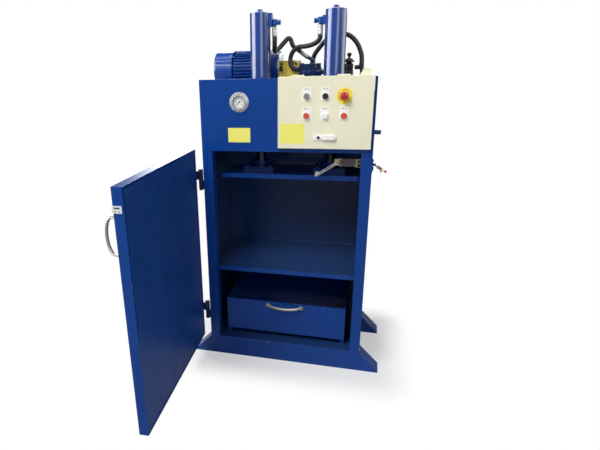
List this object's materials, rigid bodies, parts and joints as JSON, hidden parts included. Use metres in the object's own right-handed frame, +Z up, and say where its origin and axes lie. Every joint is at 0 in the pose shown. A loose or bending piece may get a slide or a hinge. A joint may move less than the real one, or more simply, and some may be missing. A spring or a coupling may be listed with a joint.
{
  "type": "drum crusher",
  "caption": "Steel cabinet press that flattens drums between a shelf and a hydraulic platen, with a swing door, a drip drawer, a control box and a power pack on top.",
  "frame": {"origin": "on the floor, midway between the two foot beams and under the cabinet's middle", "axes": "+X to the right seen from the front, +Y to the back, +Z up; the door side faces -Y"},
  "size_m": [1.056, 1.3756, 1.873],
  "materials": {
    "blue_paint": "glossy blue enamel",
    "dark_blue_paint": "glossy dark blue enamel",
    "motor_paint": "satin blue enamel",
    "cowl_paint": "glossy blue enamel",
    "cream_paint": "smooth cream powder coat",
    "mustard_paint": "matt mustard paint",
    "black_steel": "satin black paint",
    "zinc_steel": "zinc plated, slightly yellow",
    "yellow_zinc": "yellow passivated steel",
    "bright_steel": "bright plated",
    "chrome": "polished",
    "handle_metal": "satin",
    "cast_aluminium": "as machined",
    "hose_rubber": "matt black rubber",
    "black_plastic": "moulded, satin",
    "white_plastic": "moulded",
    "grey_plastic": "moulded",
    "dark_plastic": "moulded",
    "red_plastic": "moulded",
    "yellow_plastic": "moulded",
    "dial_white": "printed face",
    "glass": "clear"
  },
  "bodies": {
    "cabinet": {"feet": "blue_paint", "floor_plate": "blue_paint", "side_walls": "blue_paint", "back_wall": "blue_paint", "door_frame": "blue_paint", "front_panel": "blue_paint", "roof_plate": "blue_paint", "deck_plate": "blue_paint", "crush_shelf": "blue_paint", "drawer_runners": "blue_paint", "barrels": "blue_paint", "port_fittings": "dark_blue_paint", "hose_ferrules": "zinc_steel", "left_hose": "hose_rubber", "right_hose": "hose_rubber", "return_hose": "hose_rubber", "motor_frame": "motor_paint", "fan_cowl": "cowl_paint", "pump_adaptor": "cast_aluminium", "pump_block": "mustard_paint", "valve_block": "dark_blue_paint", "valve_coil": "black_plastic", "tank_fittings": "black_steel", "gauge_case": "chrome", "gauge_dial": "dial_white", "gauge_glass": "glass", "box_case": "cream_paint", "cable_stub": "blue_paint", "switch_mounts": "yellow_zinc", "switch_body": "black_plastic", "lower_hinges": "blue_paint", "latch_base": "dark_blue_paint"},
    "door": {"door_pan": "blue_paint", "door_liner": "dark_blue_paint", "door_handle": "handle_metal", "door_catch": "chrome", "upper_hinges": "blue_paint"},
    "drawer": {"drawer_tray": "blue_paint", "drawer_handle": "handle_metal"},
    "platen": {"platen": "blue_paint", "rod_flanges": "blue_paint", "piston_rods": "chrome"},
    "box_lid": {"box_lid": "cream_paint", "button_surrounds": "white_plastic", "stop_plate": "yellow_plastic", "lock_base": "white_plastic"},
    "lock": {"lock_lever": "white_plastic"},
    "grey_button": {"grey_button": "grey_plastic"},
    "black_button": {"black_button": "dark_plastic"},
    "left_red_button": {"left_red_button": "red_plastic"},
    "white_button": {"white_button": "white_plastic"},
    "right_red_button": {"right_red_button": "red_plastic"},
    "stop_stem": {"stop_stem": "grey_plastic"},
    "stop_head": {"stop_head": "red_plastic"},
    "gauge_needle": {"gauge_needle": "black_steel"},
    "motor_fan": {"motor_fan": "black_plastic"},
    "switch_lever": {"switch_lever": "bright_steel"},
    "switch_roller": {"switch_roller": "bright_steel"},
    "latch": {"latch_arm": "bright_steel", "latch_grips": "red_plastic"}
  },
  "joints": [
    {"name": "door_swing", "type": "hinge", "parent": "cabinet", "child": "door", "pos_m": [-0.445, -0.241, 0.65], "axis": [0, 0, 1], "range_deg": [-80, 87.5]},
    {"name": "drawer_slide", "type": "slide", "parent": "cabinet", "child": "drawer", "axis": [0, 1, 0], "range_m": [-0.38, 0]},
    {"name": "platen_slide", "type": "slide", "parent": "cabinet", "child": "platen", "axis": [0, 0, -1], "range_m": [0, 0.45]},
    {"name": "box_lid_swing", "type": "hinge", "parent": "cabinet", "child": "box_lid", "pos_m": [0.193, -0.2563, 1.555], "axis": [-1, 0, 0], "range_deg": [0, 100]},
    {"name": "lock_turn", "type": "hinge", "parent": "box_lid", "child": "lock", "pos_m": [0.239, -0.2763, 1.276], "axis": [0, 1, 0], "range_deg": [0, 90]},
    {"name": "grey_button_push", "type": "slide", "parent": "box_lid", "child": "grey_button", "axis": [0, 1, 0], "range_m": [0, 0.004], "stiffness_N_per_m": 300, "springref_m": -0.002},
    {"name": "black_button_push", "type": "slide", "parent": "box_lid", "child": "black_button", "axis": [0, 1, 0], "range_m": [0, 0.004], "stiffness_N_per_m": 300, "springref_m": -0.002},
    {"name": "left_red_button_push", "type": "slide", "parent": "box_lid", "child": "left_red_button", "axis": [0, 1, 0], "range_m": [0, 0.004], "stiffness_N_per_m": 300, "springref_m": -0.002},
    {"name": "white_button_push", "type": "slide", "parent": "box_lid", "child": "white_button", "axis": [0, 1, 0], "range_m": [0, 0.004], "stiffness_N_per_m": 300, "springref_m": -0.002},
    {"name": "right_red_button_push", "type": "slide", "parent": "box_lid", "child": "right_red_button", "axis": [0, 1, 0], "range_m": [0, 0.004], "stiffness_N_per_m": 300, "springref_m": -0.002},
    {"name": "stop_push", "type": "slide", "parent": "box_lid", "child": "stop_stem", "axis": [0, 1, 0], "range_m": [0, 0.005], "stiffness_N_per_m": 400, "springref_m": -0.002},
    {"name": "stop_twist", "type": "hinge", "parent": "stop_stem", "child": "stop_head", "pos_m": [0.283, -0.2763, 1.464], "axis": [0, 1, 0], "range_deg": [0, 45], "stiffness_Nm_per_rad": 0.05, "springref_deg": -5.73},
    {"name": "gauge_turn", "type": "hinge", "parent": "cabinet", "child": "gauge_needle", "pos_m": [-0.221, -0.256, 1.439], "axis": [0, 1, 0], "range_deg": [0, 270], "stiffness_Nm_per_rad": 0.0005},
    {"name": "fan_spin", "type": "hinge", "parent": "cabinet", "child": "motor_fan", "pos_m": [-0.4, 0.16, 1.59], "axis": [1, 0, 0], "continuous": true},
    {"name": "switch_lever_turn", "type": "hinge", "parent": "cabinet", "child": "switch_lever", "pos_m": [0.262, -0.18, 1.143], "axis": [0, 1, 0], "range_deg": [0, 25], "stiffness_Nm_per_rad": 0.4, "springref_deg": -11.46},
    {"name": "roller_spin", "type": "hinge", "parent": "switch_lever", "child": "switch_roller", "pos_m": [0.156, -0.137, 1.0743], "axis": [0, 1, 0], "continuous": true},
    {"name": "latch_swing", "type": "hinge", "parent": "cabinet", "child": "latch", "pos_m": [0.437, -0.216, 1.142], "axis": [0, 1, 0], "range_deg": [-60, 45]}
  ]
}
